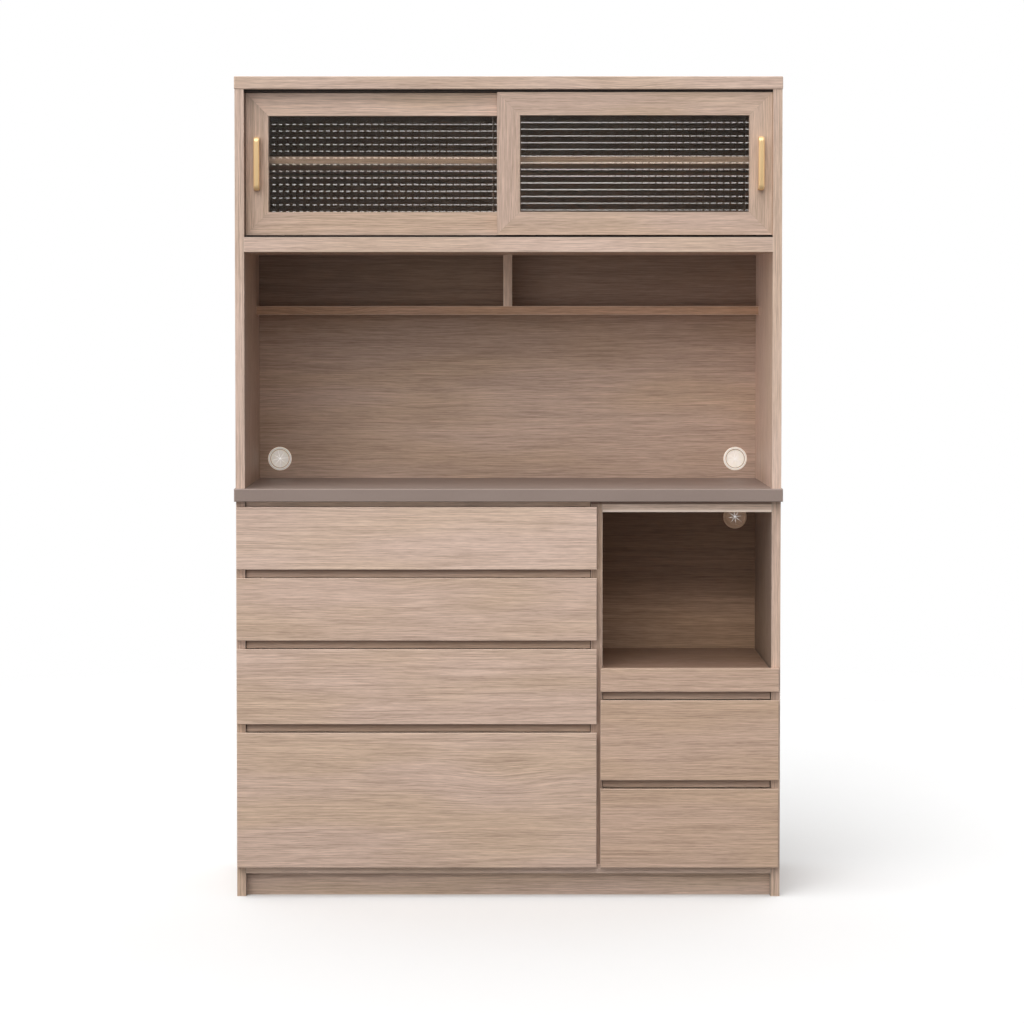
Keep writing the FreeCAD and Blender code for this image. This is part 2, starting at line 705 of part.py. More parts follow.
# Every piece is whole before any is written
doc.recompute()
failed = [piece.Label for piece in doc.Objects if {"Invalid", "Error"} & set(piece.State)]
failed += [piece.Label for piece in nodes if piece.Shape.isNull() or not piece.Shape.isValid()]
if failed:
    raise RuntimeError("pieces that failed: " + ", ".join(failed))
os.makedirs("parts", exist_ok=True)
for piece in nodes:
    piece.Shape.exportStep(f"parts/{piece.Label}.step")
print(len(nodes), "pieces written")
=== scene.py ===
import json
import math

import bpy
import numpy as np
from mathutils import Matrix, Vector


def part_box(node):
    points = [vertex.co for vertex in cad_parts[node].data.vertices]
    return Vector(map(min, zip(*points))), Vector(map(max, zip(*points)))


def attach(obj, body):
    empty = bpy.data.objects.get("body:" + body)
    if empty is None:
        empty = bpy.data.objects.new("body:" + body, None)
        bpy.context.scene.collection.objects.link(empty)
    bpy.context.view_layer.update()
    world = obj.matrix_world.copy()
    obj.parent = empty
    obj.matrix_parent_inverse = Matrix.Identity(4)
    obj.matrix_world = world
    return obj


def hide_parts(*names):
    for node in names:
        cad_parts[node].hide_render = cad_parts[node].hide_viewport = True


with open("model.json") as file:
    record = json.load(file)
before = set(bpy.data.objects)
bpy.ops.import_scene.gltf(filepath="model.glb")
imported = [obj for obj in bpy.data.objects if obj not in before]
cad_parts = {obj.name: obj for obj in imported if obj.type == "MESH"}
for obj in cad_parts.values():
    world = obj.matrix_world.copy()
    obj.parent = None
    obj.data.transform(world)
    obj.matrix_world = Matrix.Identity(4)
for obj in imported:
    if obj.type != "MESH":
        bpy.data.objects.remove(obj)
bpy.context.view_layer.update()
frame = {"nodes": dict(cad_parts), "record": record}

# A kitchen cupboard in pale greyish oak: drawers, a bay with a tray, and a hutch behind chequered glass.
# Lengths are in metres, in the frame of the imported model: +Z up, the front towards -Y.

NODES = frame["nodes"]
BODY_OF = {node: body for body, nodes in frame["record"]["behaviour"]["bodies"].items() for node in nodes}
DRAWERS = [f"drawer_{number}" for number in range(1, 7)]

# The doors' frames: the width of a stile or a rail
FRAME_WIDTH = 0.050

# The chequered panes: a cell, the plain rim under the top edge, the relief each way, and the steps on a cell
GLASS_CELL = 0.01493
GLASS_RIM = 0.0050
GLASS_RELIEF_ACROSS = 0.00075
GLASS_RELIEF_UP = 0.0005
CELL_STEPS = 8

# The handles: half the bar's thickness, the radius of its bends, and the powers of its oval section
BAR_HALF = 0.0035
BAR_BEND = 0.0085
BEND_POINTS = 13
OVAL_POINTS = 48
OVAL_SIDE_POWER = 0.5
OVAL_LIFT_POWER = 0.7

# The grommets: the flange, how far its outer edge and its mouth are rounded, and the sleeve
FLANGE_RADIUS = 0.0275
FLANGE_LIP = 0.0030
FLANGE_ROUND = 0.0026
MOUTH_RADIUS = 0.0226
MOUTH_ROUND = 0.0010
SLEEVE_RADIUS = 0.02475
ROUND_POINTS = 10
TURN_POINTS = 72

# Their membranes: the petals, the slits between them, and how deep they lie
PETALS = 8
PETAL_TURN = 0.16
PETAL_START = 0.0011
PETAL_TUCK = 0.0005
PETAL_POINTS = (16, 9)
SLIT_CLOSED = 0.00004
SLIT_OPENING = 0.00060
SLIT_END = 0.0150
SLIT_FADE = 0.004
MEMBRANE_DEPTH = 0.0018
MEMBRANE_DISH = 0.0009
MEMBRANE_THICKNESS = 0.0008

# The felt strip: its play beside the shut door, and how far it lies behind the door's face
STRIP_PLAY = 0.0002
STRIP_SETBACK = 0.0006

# The end boards' inner faces: their distance from the middle, where their painted light and shade ends, and
# the factor of each, below one painted shade and above one painted light
INNER_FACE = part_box("lower_side_right")[0].x
INNER_FADE = (INNER_FACE + 0.0002, INNER_FACE + 0.0008)
INNER_LIGHT_AND_SHADE = {"lower_side_left": 0.60, "lower_side_right": 0.50,
               "hutch_side_left": 0.80, "hutch_side_right": 1.10}

# The shade just under the counter: how far down it fades, and how deep it is on each board
COUNTER_DROP = (0.0055, 0.0080)
COUNTER_SHADE = {"bay_top_board": 0.85, "lower_partition": 0.85,
                 "lower_side_right": 0.35, "lower_side_left": 0.35}

# The shade on the rails just under a front: the drops over which it comes and goes, and how deep it is
FRONT_SHADE_START = (-0.004, -0.001)
FRONT_SHADE_END = (0.002, 0.017)
FRONT_SHADE = 0.75

# Dark lines: along a mitre and at the ends of the rails, and a painted shadow line round the mouth of a
# grommet
MITRE_LINE = 0.0011
MITRE_SHARE = 0.12
END_LINE = (0.0012, 0.0024)
END_SHARE = 0.85
MOUTH_SHADOW_START = (MOUTH_RADIUS - 0.0030, MOUTH_RADIUS - 0.0012)
MOUTH_SHADOW_END = (MOUTH_RADIUS + 0.0002, MOUTH_RADIUS + 0.0006)
MOUTH_SHADOW_SHARE = 0.6

# The edges of pieces: how wide they fade, and how far they go towards their own colour: a painted highlight
# on a board or the counter, a painted dark reflection on a handle
BOARD_EDGE_HIGHLIGHT = (0.0016, 0.55)
COUNTER_EDGE_HIGHLIGHT = (0.0022, 0.40)
HANDLE_EDGE_REFLECTION = (0.0028, 0.90)

# How deep the relief of each finish is
RELIEF = {"board": 0.00012, "frame": 0.00008, "panel": 0.00010, "laminate": 0.00006, "paper": 0.00005,
          "lining": 0.00008, "beech": 0.00010, "brushed": 0.00002, "moulded": 0.00004, "felt": 0.00010}

# The range of roughness of each finish that has no grain
ROUGHNESS = {"laminate": (0.48, 0.60), "paper": (0.45, 0.60), "steel": (0.28, 0.42), "brass": (0.40, 0.50),
             "plastic": (0.35, 0.50), "grommet": (0.30, 0.45), "felt": (0.80, 0.95), "glass": (0.06, 0.10)}

# The grain: cells a metre of its knots, its sway and its ground, and how they move its lines and colours
KNOT_CELLS = (1.6, 3.6, 3.6)
KNOT_FALL = 40.0
KNOT_SWELL = 0.014
HEART_REACH = 0.075
HEART_SHARE = 0.55
SWAY_CELLS = (1.4, 3.0, 6.0)
SWAY = 0.018
GROUND_CELLS = (2.6, 4.0, 11.0)
GROUND_RANGE = (0.35, 0.65)
GROUND_GAIN = 1.25
FIBRE_RANGE = (0.2, 0.8)
GRAIN_ROUGHNESS = (0.42, 0.58)

# Its marks: cells a metre, the noise's detail and roughness, the range that shows, and the share of dark
GRAIN_MARKS = {"streaks": ((8.0, 560.0, 560.0), 2.0, 0.6, (0.36, 0.64), 0.28),
               "fibres": ((28.0, 980.0, 980.0), 2.0, 0.6, (0.35, 0.65), 0.24),
               "bands": ((2.0, 70.0, 90.0), 3.0, 0.6, (0.30, 0.70), 0.17),
               "pores": ((45.0, 1100.0, 1100.0), 1.0, 0.5, (0.58, 0.72), 0.12)}

# How far apart two boards that follow each other are cut from the endless sheet of grain
SHEET_STEPS = (0.83, 0.29, 0.47)

# Turns that lay the X axis of a pattern along an axis of the frame
TURNS = {"x": (0.0, 0.0, 0.0), "y": (0.0, 0.0, -math.pi / 2), "z": (0.0, math.pi / 2, 0.0)}

# The middle range of a noise, and the numbers of the mix node's colour sockets, which share their names
NOISE_RANGE = (0.3, 0.7)
MIX_SHARE = 0
MIX_FIRST = 6
MIX_SECOND = 7
MIX_RESULT = 2


# Colours

def tint(red, green, blue):
    """A display colour, 0 to 255 each, as the linear colour that a shader reads."""
    shares = [value / 255 for value in (red, green, blue)]
    linear = [share / 12.92 if share <= 0.04045 else ((share + 0.055) / 1.055) ** 2.4 for share in shares]
    return (*linear, 1.0)


def wood(pale, warm, dark):
    """The colours of a wood. Its ground drifts from pale to warm, and its marks go towards dark."""
    return {"Pale": tint(*pale), "Warm": tint(*warm), "Dark": tint(*dark)}


# The next nine oaks are one printed oak in copies lighter or deeper than OAK: painted light and painted
# shade for how the light falls on each board
LIT_OAK = wood((219, 193, 177), (216, 190, 169), (144, 115, 97))
OAK = wood((212, 185, 168), (208, 181, 158), (134, 106, 88))
SHADED_RIGHT_OAK = wood((204, 175, 155), (200, 171, 147), (127, 99, 80))
SHADED_OAK = wood((156, 127, 110), (152, 123, 102), (93, 69, 53))
SHADED_BAY_OAK = wood((157, 125, 100), (153, 121, 93), (93, 67, 46))
SHADED_SPICE_OAK = wood((200, 161, 134), (196, 157, 126), (126, 92, 68))
LIT_RAIL_OAK = wood((230, 202, 182), (226, 196, 171), (156, 125, 106))
SHADED_BACK_OAK = wood((192, 165, 147), (189, 161, 138), (116, 90, 73))
LIT_SHELF_OAK = wood((230, 205, 188), (226, 199, 178), (160, 131, 112))
LINING = wood((214, 203, 188), (208, 195, 176), (150, 132, 112))
BEECH = wood((214, 178, 138), (205, 165, 124), (140, 98, 66))
# A painted highlight, for the eased edges of the boards
EDGE_HIGHLIGHT = tint(228, 208, 192)
SEAM = tint(58, 40, 30)
SHADE = tint(112, 82, 66)

# Two near tones of each other finish, and the colours that mark it
BROWN_PAPER = (tint(176, 152, 126), tint(192, 170, 144))
PALE_PAPER = (tint(252, 234, 218), tint(246, 226, 208))
LAMINATE = (tint(150, 132, 123), tint(156, 138, 129))
LAMINATE_FLECK = tint(128, 110, 102)
# A painted highlight, for the counter's edges
LAMINATE_HIGHLIGHT = tint(176, 160, 150)
STEEL = (tint(176, 178, 180), tint(200, 201, 202))
BRASS = (tint(255, 214, 156), tint(255, 223, 170))
# A painted dark reflection, for the edges of a handle
BRASS_DARK_REFLECTION = tint(190, 122, 62)
TRACK_BROWN = (tint(44, 34, 28), tint(54, 43, 36))
GLIDE_BROWN = (tint(52, 43, 37), tint(62, 52, 45))
CREAM = (tint(246, 237, 225), tint(252, 244, 234))
# Painted shade: the grommet's cream where it lies in the bay
BAY_SHADED_CREAM = tint(246, 214, 183)
# A painted shadow, round the mouths of the grommets above the counter
MOUTH_SHADOW = tint(104, 88, 76)
FELT = (tint(168, 138, 116), tint(190, 160, 138))
WARM_GLASS = ((0.97, 0.91, 0.83, 1.0), (1.0, 0.95, 0.88, 1.0))


# Ways to wire a shader

class Wiring:
    """Adds nodes to one tree. An input given as a socket is linked, and any other value is set on it."""

    def __init__(self, tree):
        self.tree = tree

    def feed(self, socket, value):
        if isinstance(value, bpy.types.NodeSocket):
            self.tree.links.new(value, socket)
        else:
            socket.default_value = value

    def node(self, kind, inputs=(), **settings):
        made = self.tree.nodes.new(kind)
        for name, value in settings.items():
            setattr(made, name, value)
        for key, value in dict(inputs).items():
            self.feed(made.inputs[key], value)
        return made

    def math(self, operation, *values):
        return self.node("ShaderNodeMath", enumerate(values), operation=operation).outputs[0]

    def chain(self, operation, first, *others):
        """Several numbers taken together by one operation, two at a time."""
        for value in others:
            first = self.math(operation, first, value)
        return first

    def rest(self, share):
        """What a share leaves of one."""
        return self.math("SUBTRACT", 1.0, share)

    def vector(self, operation, *values):
        return self.node("ShaderNodeVectorMath", enumerate(values), operation=operation).outputs[0]

    def reach(self, operation, *values):
        """The length of a vector, or the distance between two."""
        return self.node("ShaderNodeVectorMath", enumerate(values), operation=operation).outputs["Value"]

    def scaled(self, vector, factor):
        """A vector or a colour times one number."""
        inputs = {0: vector, "Scale": factor}
        return self.node("ShaderNodeVectorMath", inputs, operation="SCALE").outputs[0]

    def parts(self, vector):
        return self.node("ShaderNodeSeparateXYZ", {0: vector}).outputs

    def joined(self, x, y, z):
        return self.node("ShaderNodeCombineXYZ", enumerate((x, y, z))).outputs[0]

    def mix(self, share, first, second):
        """A colour that is a share of the way from the first to the second."""
        inputs = {MIX_SHARE: share, MIX_FIRST: first, MIX_SECOND: second}
        return self.node("ShaderNodeMix", inputs, data_type="RGBA").outputs[MIX_RESULT]

    def spread(self, value, low, high, to_low=0.0, to_high=1.0):
        """The value moved smoothly from one range onto another, and kept inside it."""
        inputs = {"Value": value, "From Min": low, "From Max": high, "To Min": to_low, "To Max": to_high}
        return self.node("ShaderNodeMapRange", inputs, interpolation_type="SMOOTHSTEP").outputs[0]

    def drift(self, noise, to_low=0.0, to_high=1.0):
        """The middle range of a noise, spread onto another range."""
        return self.spread(noise, *NOISE_RANGE, to_low, to_high)

    def noise(self, place, cells, detail=2.0, roughness=0.5):
        """Noise with a number of cells a metre, the same for every axis or one for each."""
        each = cells if isinstance(cells, tuple) else (cells, cells, cells)
        inputs = {"Vector": self.vector("MULTIPLY", place, each), "Scale": 1.0,
                  "Detail": detail, "Roughness": roughness}
        return self.node("ShaderNodeTexNoise", inputs).outputs["Fac"]

    def group(self, tree, inputs):
        return self.node("ShaderNodeGroup", inputs, node_tree=tree).outputs

    def place(self):
        return self.node("ShaderNodeTexCoord").outputs["Object"]


def effect(name, inputs, outputs):
    """An empty shader group with named sockets: its wiring, its inputs and what its output node takes."""
    tree = bpy.data.node_groups.new(name, "ShaderNodeTree")
    for label, kind in inputs.items():
        tree.interface.new_socket(label, in_out="INPUT", socket_type=f"NodeSocket{kind}")
    for label, kind in outputs.items():
        tree.interface.new_socket(label, in_out="OUTPUT", socket_type=f"NodeSocket{kind}")
    wires = Wiring(tree)
    return wires, wires.node("NodeGroupInput").outputs, wires.node("NodeGroupOutput").inputs


# Shared effects

def board_grain():
    """Grain along X of its Position, as level lines of Z plus a slow sway and a swell round each knot.

    Streaks, fibres, bands and pores are noises drawn long along X and thin across those lines. The ground
    drifts between the pale and the warm colour, and the marks on it go towards the dark one. The height is
    half the fibres less half the pores.
    """
    inputs = {"Position": "Vector", "Pale": "Color", "Warm": "Color", "Dark": "Color"}
    outputs = {"Color": "Color", "Roughness": "Float", "Height": "Float"}
    wires, given, result = effect("board_grain", inputs, outputs)
    position = given["Position"]
    x, y, z = wires.parts(position)
    knot_place = wires.vector("MULTIPLY", position, KNOT_CELLS)
    knot = wires.node("ShaderNodeTexVoronoi", {"Vector": knot_place, "Scale": 1.0}).outputs["Distance"]
    nearness = wires.math("EXPONENT", wires.math("MULTIPLY", wires.math("POWER", knot, 2.0), -KNOT_FALL))
    sway = wires.math("SUBTRACT", wires.noise(position, SWAY_CELLS), 0.5)
    moves = [wires.math("MULTIPLY", sway, SWAY), wires.math("MULTIPLY", nearness, KNOT_SWELL)]
    along = wires.joined(x, y, wires.chain("ADD", z, *moves))
    marks = {}
    dark = 0.0
    for mark, (cells, detail, roughness, shown, share) in GRAIN_MARKS.items():
        marks[mark] = wires.spread(wires.noise(along, cells, detail, roughness), *shown)
        dark = wires.math("MULTIPLY_ADD", marks[mark], share, dark)
    heart = wires.spread(knot, 0.0, HEART_REACH, HEART_SHARE, 0.0)
    tone = wires.spread(wires.noise(position, GROUND_CELLS, detail=1.0), *GROUND_RANGE)
    ground = wires.scaled(wires.mix(tone, given["Pale"], given["Warm"]), GROUND_GAIN)
    wires.feed(result["Color"], wires.mix(wires.math("MAXIMUM", dark, heart), ground, given["Dark"]))
    wires.feed(result["Roughness"], wires.spread(marks["fibres"], *FIBRE_RANGE, *GRAIN_ROUGHNESS))
    halves = [wires.math("MULTIPLY", marks[mark], 0.5) for mark in ("fibres", "pores")]
    wires.feed(result["Height"], wires.math("SUBTRACT", *halves))
    return wires.tree


def board_edge():
    """A mask that is 1 on the edges of the box from Low to High and fades over Width.

    Of the three distances to the nearest faces, one is nothing on a face, so the middle one is the
    distance to the nearest edge.
    """
    inputs = {"Position": "Vector", "Low": "Vector", "High": "Vector", "Width": "Float"}
    wires, given, result = effect("board_edge", inputs, {"Mask": "Float"})
    from_low = wires.vector("SUBTRACT", given["Position"], given["Low"])
    from_high = wires.vector("SUBTRACT", given["High"], given["Position"])
    x, y, z = wires.parts(wires.vector("MINIMUM", from_low, from_high))
    least = wires.math("MINIMUM", x, y)
    most = wires.math("MAXIMUM", x, y)
    middle = wires.math("MAXIMUM", least, wires.math("MINIMUM", most, z))
    wires.feed(result["Mask"], wires.spread(middle, 0.0, given["Width"], 1.0, 0.0))
    return wires.tree


def brushing():
    """Fine lines along X of its Position, as two noises drawn long and thin, about 0.5 in the mean."""
    wires, given, result = effect("brushing", {"Position": "Vector"}, {"Value": "Float"})
    coarse_share, fine_share = 0.6, 0.4
    coarse = wires.noise(given["Position"], (30.0, 2600.0, 2600.0), detail=2.0, roughness=0.6)
    fine = wires.noise(given["Position"], (90.0, 7000.0, 7000.0), detail=1.0, roughness=0.5)
    lines = wires.math("MULTIPLY_ADD", fine, fine_share, wires.math("MULTIPLY", coarse, coarse_share))
    wires.feed(result["Value"], lines)
    return wires.tree


def moulding():
    """The faint orange-peel skin and uneven tone of moulded plastic, as a fine and a slow noise."""
    outputs = {"Tone": "Float", "Height": "Float"}
    wires, given, result = effect("moulding", {"Position": "Vector"}, outputs)
    wires.feed(result["Tone"], wires.noise(given["Position"], 60.0, detail=3.0))
    wires.feed(result["Height"], wires.noise(given["Position"], 1800.0, detail=2.0))
    return wires.tree


GRAIN = board_grain()
EDGE = board_edge()
BRUSHING = brushing()
MOULDING = moulding()


# Finishes

def finish(name):
    """A new material with a plain principled surface: the material, its wiring and the surface."""
    material = bpy.data.materials.new(name)
    material.use_nodes = True
    wires = Wiring(material.node_tree)
    return material, wires, material.node_tree.nodes["Principled BSDF"]


def lay(wires, surface, colour, roughness, height, depth):
    """Gives a surface its colour, its roughness, and a relief: a height times a depth in metres."""
    bump = wires.node("ShaderNodeBump", {"Height": height, "Distance": depth, "Strength": 1.0})
    wires.feed(surface.inputs["Base Color"], colour)
    wires.feed(surface.inputs["Roughness"], roughness)
    wires.feed(surface.inputs["Normal"], bump.outputs["Normal"])


def turned(wires, axis, shift=(0.0, 0.0, 0.0)):
    """Object coordinates with the pattern's X axis laid along an axis, and moved to another stretch."""
    inputs = {"Vector": wires.place(), "Location": shift, "Rotation": TURNS[axis]}
    return wires.node("ShaderNodeMapping", inputs).outputs[0]


def grain_along(wires, axis, number, colours):
    """Grain along an axis, cut for every number from another place on the endless sheet."""
    shift = tuple(step * number for step in SHEET_STEPS)
    return wires.group(GRAIN, {"Position": turned(wires, axis, shift), **colours})


def edge_share(wires, node, edge):
    """How far a piece goes towards its edge colour, from the edge's width and share."""
    width, share = edge
    low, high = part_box(node)
    mask = wires.group(EDGE, {"Position": wires.place(), "Low": low, "High": high, "Width": width})["Mask"]
    return wires.math("MULTIPLY", mask, share)


def oak_board(node, number, axis, colours):
    """Printed oak with the grain along an axis and a painted highlight on its eased edges.

    An end board's inner face is darker with painted shade, and the right hutch side's is lighter with
    painted light. A board that meets the counter has painted shade just under it.
    """
    material, wires, surface = finish(f"oak_{node}")
    grain = grain_along(wires, axis, number, colours)
    # A painted highlight on the eased edges
    colour = wires.mix(edge_share(wires, node, BOARD_EDGE_HIGHLIGHT), grain["Color"], EDGE_HIGHLIGHT)
    # Painted shade on an end board's inner face, and painted light on the right hutch side's
    if node in INNER_LIGHT_AND_SHADE:
        across = wires.math("ABSOLUTE", wires.parts(wires.place())[0])
        colour = wires.scaled(colour, wires.spread(across, *INNER_FADE, INNER_LIGHT_AND_SHADE[node], 1.0))
    # Painted shade just under the counter
    if node in COUNTER_SHADE:
        drop = wires.math("SUBTRACT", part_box(node)[1].z, wires.parts(wires.place())[2])
        colour = wires.mix(wires.spread(drop, *COUNTER_DROP, COUNTER_SHADE[node], 0.0), colour, SHADE)
    lay(wires, surface, colour, grain["Roughness"], grain["Height"], RELIEF["board"])
    return material


def mitred_oak(node, number, top_rail_light):
    """Oak whose grain turns at the mitres of a frame, with a fine dark line along each mitre.

    A point is on a stile where its reach past the opening is greater across than up. The top rail has
    painted light, a lighter tone of its own.
    """
    material, wires, surface = finish(f"oak_{node}")
    low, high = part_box(node)
    centre = (low + high) / 2
    opening = (high - low) / 2 - Vector((FRAME_WIDTH, 0, FRAME_WIDTH))
    offset = wires.vector("ABSOLUTE", wires.vector("SUBTRACT", wires.place(), centre))
    across, _, up = wires.parts(wires.vector("SUBTRACT", offset, opening))
    lead = wires.math("SUBTRACT", across, up)
    on_stile = wires.math("GREATER_THAN", lead, 0.0)
    rails = grain_along(wires, "x", number, OAK)
    stiles = grain_along(wires, "z", number + 0.5, OAK)
    # Painted light on the top rail: its colour scaled by the door's factor
    on_top = wires.math("GREATER_THAN", wires.parts(wires.place())[2], centre.z)
    rail = wires.scaled(rails["Color"], wires.math("MULTIPLY_ADD", on_top, top_rail_light - 1.0, 1.0))
    colour = wires.mix(on_stile, rail, stiles["Color"])
    line = wires.spread(wires.math("ABSOLUTE", lead), 0.0, MITRE_LINE, MITRE_SHARE, 0.0)
    height = wires.math("ADD", rails["Height"], stiles["Height"])
    lay(wires, surface, wires.mix(line, colour, SEAM), rails["Roughness"], height, RELIEF["frame"])
    return material


def rail_oak(number):
    """Oak of the cross rails, with a dark line where each rail meets the upright at its end.

    Rails have painted shade just under the fronts of the upper drawers, of the tray and of the drawer under
    it. The depth of that shade comes and goes with the drop below a front's lower edge.
    """
    material, wires, surface = finish("oak_drawer_rails")
    grain = grain_along(wires, "x", number, LIT_RAIL_OAK)
    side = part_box("lower_side_left")[1].x
    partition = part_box("lower_partition")
    across, _, height = wires.parts(wires.place())
    ends = (side, partition[0].x, partition[1].x, -side)
    to_ends = [wires.math("ABSOLUTE", wires.math("SUBTRACT", across, end)) for end in ends]
    line = wires.spread(wires.chain("MINIMUM", *to_ends), *END_LINE, END_SHARE, 0.0)
    right = wires.math("GREATER_THAN", across, partition[0].x)
    # Painted shade on the rails just under the fronts
    shade = 0.0
    for bank, movers in ((wires.rest(right), DRAWERS[:3]), (right, ["tray", "drawer_5"])):
        for mover in movers:
            drop = wires.math("SUBTRACT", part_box(f"{mover}_front")[0].z, height)
            under = wires.math("MULTIPLY", wires.spread(drop, *FRONT_SHADE_START),
                               wires.spread(drop, *FRONT_SHADE_END, FRONT_SHADE, 0.0))
            shade = wires.math("MULTIPLY_ADD", under, bank, shade)
    colour = wires.mix(line, wires.mix(shade, grain["Color"], SHADE), SEAM)
    lay(wires, surface, colour, grain["Roughness"], grain["Height"], RELIEF["board"])
    return material


def panel_oak(node, number, colours, tones):
    """A thin back panel: printed oak inside, plain brown paper with faint fibres on its rear face.

    The oak has painted light and shade that goes with the height, from one given pair of height and tone to
    the next. Green takes a power of the tone and blue a higher one, so that deep painted shade is warm.
    """
    paper_skin, green_power, blue_power, paper_roughness = 0.0005, 1.15, 1.30, 0.25
    material, wires, surface = finish(f"oak_{node}")
    grain = grain_along(wires, "x", number, colours)
    _, depth, height = wires.parts(wires.place())
    rear = wires.math("GREATER_THAN", depth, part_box(node)[1].y - paper_skin)
    # Painted light and shade up the panel, from the pairs of height and tone
    tone = tones[0][1]
    for (from_height, from_tone), (to_height, to_tone) in zip(tones, tones[1:]):
        change = wires.spread(height, from_height, to_height, 0.0, to_tone - from_tone)
        tone = wires.math("ADD", tone, change)
    shade = wires.joined(tone, wires.math("POWER", tone, green_power), wires.math("POWER", tone, blue_power))
    inside = wires.vector("MULTIPLY", grain["Color"], shade)
    fibres = wires.noise(wires.place(), (900.0, 900.0, 300.0), detail=3.0)
    paper = wires.mix(wires.drift(fibres), *BROWN_PAPER)
    roughness = wires.math("MULTIPLY_ADD", rear, paper_roughness, grain["Roughness"])
    lay(wires, surface, wires.mix(rear, inside, paper), roughness, grain["Height"], RELIEF["panel"])
    return material


def counter_laminate():
    """Matt grey-brown laminate: a fine fleck over slow clouds, a skin of small pits, and a painted highlight
    on its edges.
    """
    fleck_range, fleck_share = (0.35, 0.75), 0.35
    material, wires, surface = finish("counter_laminate")
    fleck = wires.noise(wires.place(), 900.0, detail=2.0, roughness=0.7)
    cloud = wires.noise(wires.place(), (4.0, 9.0, 9.0), detail=3.0)
    colour = wires.mix(wires.drift(cloud), *LAMINATE)
    colour = wires.mix(wires.spread(fleck, *fleck_range, 0.0, fleck_share), colour, LAMINATE_FLECK)
    # A painted highlight on the counter's edges
    colour = wires.mix(edge_share(wires, "countertop", COUNTER_EDGE_HIGHLIGHT), colour, LAMINATE_HIGHLIGHT)
    lay(wires, surface, colour, wires.drift(fleck, *ROUGHNESS["laminate"]), fleck, RELIEF["laminate"])
    return material


def pale_panel():
    """The pale ceiling panel of the bay: near-white paper with a faint mottle."""
    material, wires, surface = finish("pale_panel")
    mottle = wires.noise(wires.place(), 220.0, detail=3.0)
    roughness = wires.drift(mottle, *ROUGHNESS["paper"])
    lay(wires, surface, wires.mix(mottle, *PALE_PAPER), roughness, mottle, RELIEF["paper"])
    return material


def lining_board(node, number):
    """The pale lined board of drawer boxes, its faint grain from front to back."""
    material, wires, surface = finish(f"lining_{node}")
    grain = grain_along(wires, "y", number, LINING)
    lay(wires, surface, grain["Color"], grain["Roughness"], grain["Height"], RELIEF["lining"])
    return material


def beech():
    """Turned beech of the dowels, with the grain up their length."""
    material, wires, surface = finish("dowel_beech")
    grain = grain_along(wires, "z", 0, BEECH)
    lay(wires, surface, grain["Color"], grain["Roughness"], grain["Height"], RELIEF["beech"])
    return material


def slide_steel():
    """Brushed steel of the slides and pins, its lines from front to back, in two near tones."""
    material, wires, surface = finish("slide_steel")
    lines = wires.group(BRUSHING, {"Position": turned(wires, "y")})["Value"]
    colour = wires.mix(wires.drift(lines), *STEEL)
    lay(wires, surface, colour, wires.drift(lines, *ROUGHNESS["steel"]), lines, RELIEF["brushed"])
    surface.inputs["Metallic"].default_value = 1.0
    return material


def handle_brass(node):
    """Satin lacquered brass of a handle, its lines up its length, with a painted dark reflection along its
    edges.
    """
    material, wires, surface = finish(f"brass_{node}")
    lines = wires.group(BRUSHING, {"Position": turned(wires, "z")})["Value"]
    colour = wires.mix(wires.drift(lines), *BRASS)
    # A painted dark reflection along the handle's edges
    colour = wires.mix(edge_share(wires, node, HANDLE_EDGE_REFLECTION), colour, BRASS_DARK_REFLECTION)
    lay(wires, surface, colour, wires.drift(lines, *ROUGHNESS["brass"]), lines, RELIEF["brushed"])
    surface.inputs["Metallic"].default_value = 0.5
    return material


def moulded_plastic(name, tones):
    """Moulded plastic in two near tones with a faint skin."""
    material, wires, surface = finish(name)
    skin = wires.group(MOULDING, {"Position": wires.place()})
    roughness = wires.drift(skin["Height"], *ROUGHNESS["plastic"])
    colour = wires.mix(wires.drift(skin["Tone"]), *tones)
    lay(wires, surface, colour, roughness, skin["Height"], RELIEF["moulded"])
    return material


def grommet_plastic(centres):
    """Cream plastic, with a painted shadow line round the mouths above the counter, where membrane and
    flange meet.

    Above the counter the plastic has a painted glow. Below it, in the bay, the cream is warmer, as painted
    shade.
    """
    lit_rise, painted_glow = 0.01, 0.24
    material, wires, surface = finish("grommet_plastic")
    skin = wires.group(MOULDING, {"Position": wires.place()})
    x, depth, height = wires.parts(wires.place())
    flat = wires.joined(x, 0.0, height)
    to_centres = [wires.reach("DISTANCE", flat, (centre[0], 0.0, centre[2])) for centre in centres]
    radius = wires.chain("MINIMUM", *to_centres)
    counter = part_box("countertop")[1].z
    lit = wires.spread(height, counter, counter + lit_rise)
    sunk = wires.math("GREATER_THAN", depth, centres[0][1] - 0.5 * FLANGE_LIP)
    # Painted shadow line round the mouths, only above the counter
    line = wires.chain("MULTIPLY", lit, sunk, wires.spread(radius, *MOUTH_SHADOW_START, 0.0, MOUTH_SHADOW_SHARE),
                       wires.spread(radius, *MOUTH_SHADOW_END, 1.0, 0.0))
    # Painted shade: the warmer cream in the bay, below the counter
    colour = wires.mix(lit, BAY_SHADED_CREAM, wires.mix(wires.drift(skin["Tone"]), *CREAM))
    colour = wires.mix(line, colour, MOUTH_SHADOW)
    roughness = wires.drift(skin["Height"], *ROUGHNESS["grommet"])
    lay(wires, surface, colour, roughness, skin["Height"], RELIEF["moulded"])
    # Painted glow: the plastic gives off its own colour above the counter
    wires.feed(surface.inputs["Emission Color"], wires.scaled(colour, lit))
    surface.inputs["Emission Strength"].default_value = painted_glow
    return material


